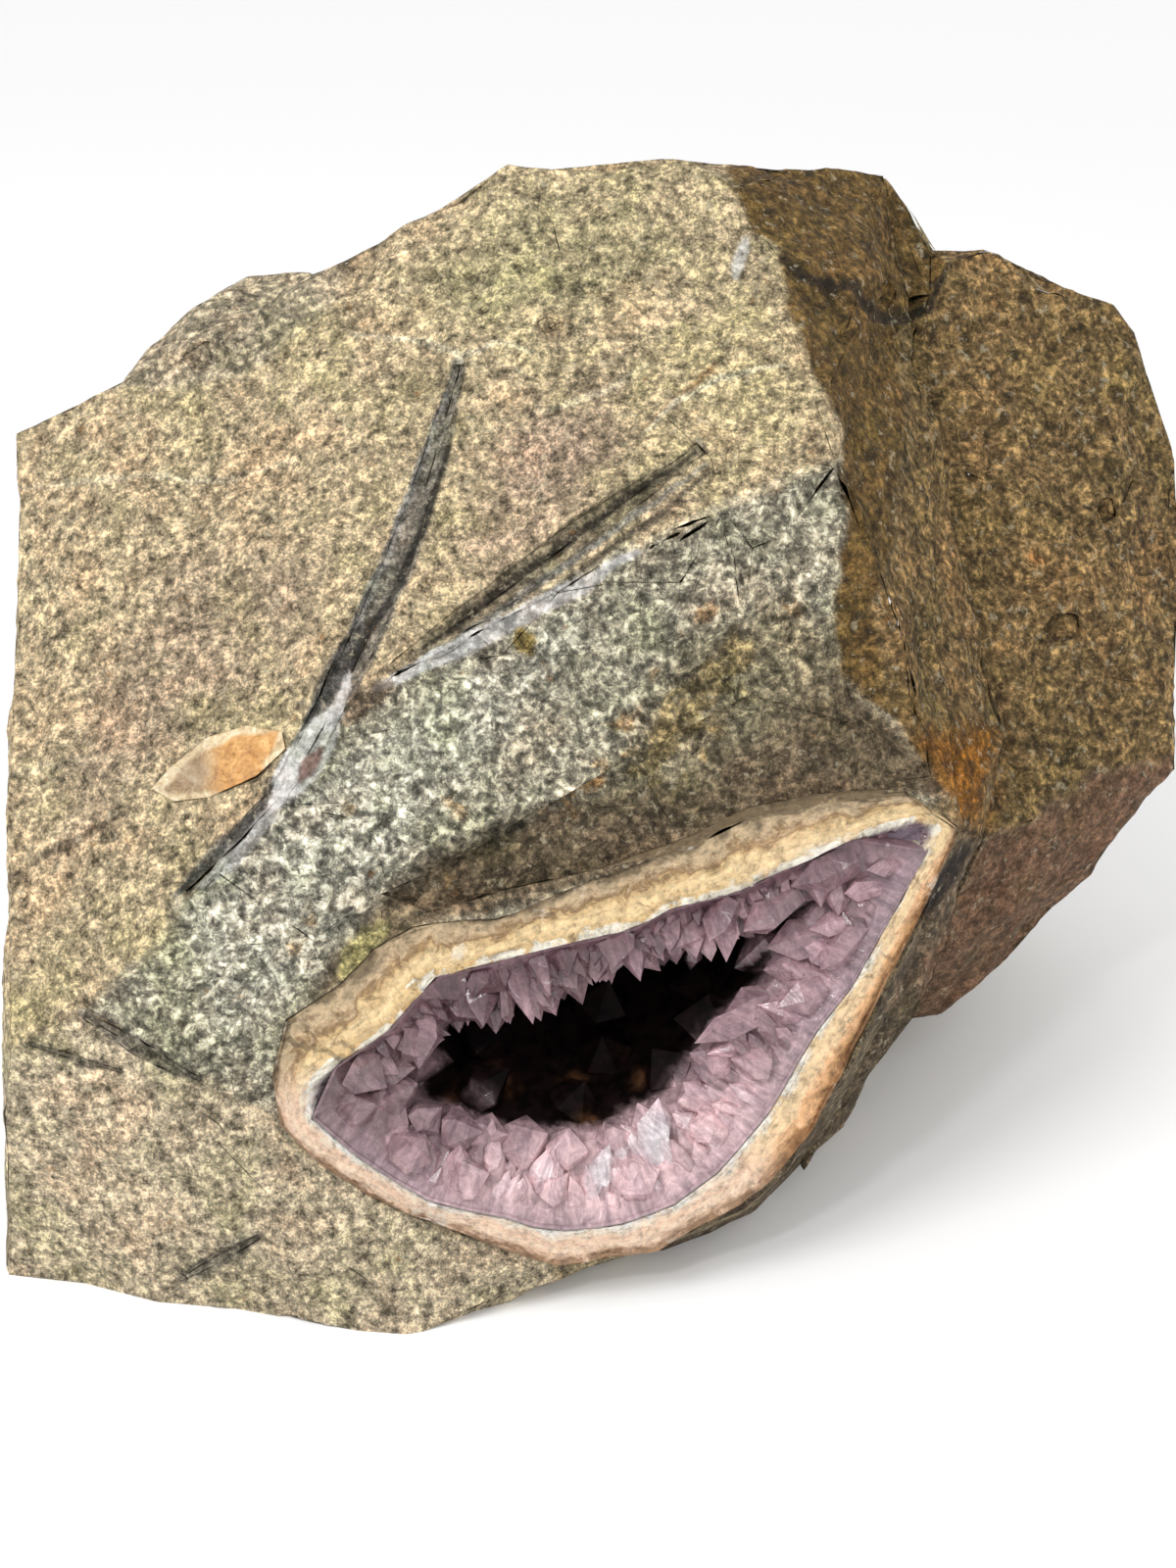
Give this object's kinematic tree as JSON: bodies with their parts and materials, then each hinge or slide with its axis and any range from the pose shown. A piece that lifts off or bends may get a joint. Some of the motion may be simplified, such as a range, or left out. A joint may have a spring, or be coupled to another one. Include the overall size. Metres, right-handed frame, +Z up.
{
  "type": "amethyst geode in basalt",
  "caption": "Block of basalt with a broken-open geode: a banded calcite rind round a hollow lined with pointed amethyst crystals.",
  "frame": {"origin": "middle of the flat base", "axes": "+Z up off the base, +X to the right along the long side, -Y out of the hollow"},
  "size_m": [0.4778, 0.3097, 0.3694],
  "materials": {
    "basalt": "rough",
    "calcite": "satin",
    "amethyst": "gloss",
    "calcite_vein": "satin"
  },
  "bodies": {
    "root": {"basalt_matrix": "basalt", "calcite_rind": "calcite", "amethyst_crust": "amethyst", "calcite_lens": "calcite_vein"}
  },
  "joints": []
}
